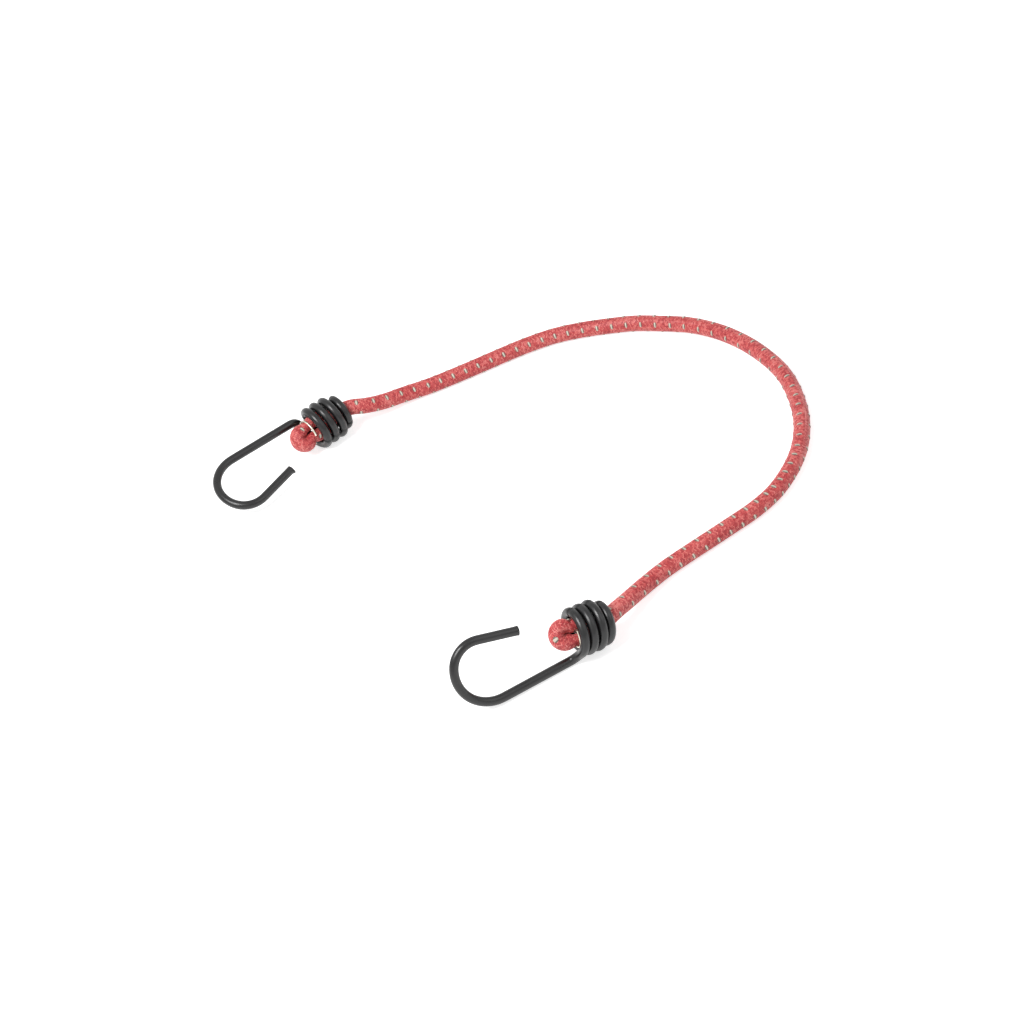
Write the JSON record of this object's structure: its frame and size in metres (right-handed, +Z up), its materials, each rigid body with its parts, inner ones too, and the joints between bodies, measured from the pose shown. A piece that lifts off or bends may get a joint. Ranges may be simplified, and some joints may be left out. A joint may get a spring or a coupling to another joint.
{
  "type": "bungee cord",
  "caption": "Short braided elastic cord with a coated wire hook coiled round each end; each cord end is folded back in its coil and held by a wire clip.",
  "frame": {"origin": "on the surface that the cord lies on, under the middle of the two hooks", "axes": "+Z up from that surface; -Y towards the viewer of the picture; +X to the viewer's right"},
  "size_m": [0.2803, 0.2725, 0.0346],
  "materials": {
    "braid": "woven, matt, coral red",
    "latex": "matt, pale amber",
    "coating": "satin, black",
    "steel": "drawn wire",
    "clip": "zinc plated, satin"
  },
  "bodies": {
    "cord": {"cord_cover": "braid", "core_strand_1": "latex", "core_strand_2": "latex", "core_strand_3": "latex", "core_strand_4": "latex", "core_strand_5": "latex", "core_strand_6": "latex", "core_strand_7": "latex", "core_strand_8": "latex", "core_strand_9": "latex", "left_cord_clip": "clip", "right_cord_clip": "clip"},
    "left_hook": {"left_hook_wire": "steel", "left_hook_coating": "coating"},
    "right_hook": {"right_hook_wire": "steel", "right_hook_coating": "coating"}
  },
  "joints": [
    {"name": "left_hook_swivel", "type": "hinge", "parent": "cord", "child": "left_hook", "pos_m": [-0.02592, 0.11654, 0.01131], "axis": [0.8829, 0.4694, -0.0105], "continuous": true},
    {"name": "right_hook_swivel", "type": "hinge", "parent": "cord", "child": "right_hook", "pos_m": [0.06029, -0.11666, 0.01274], "axis": [0.9624, 0.2435, -0.1201], "continuous": true}
  ]
}
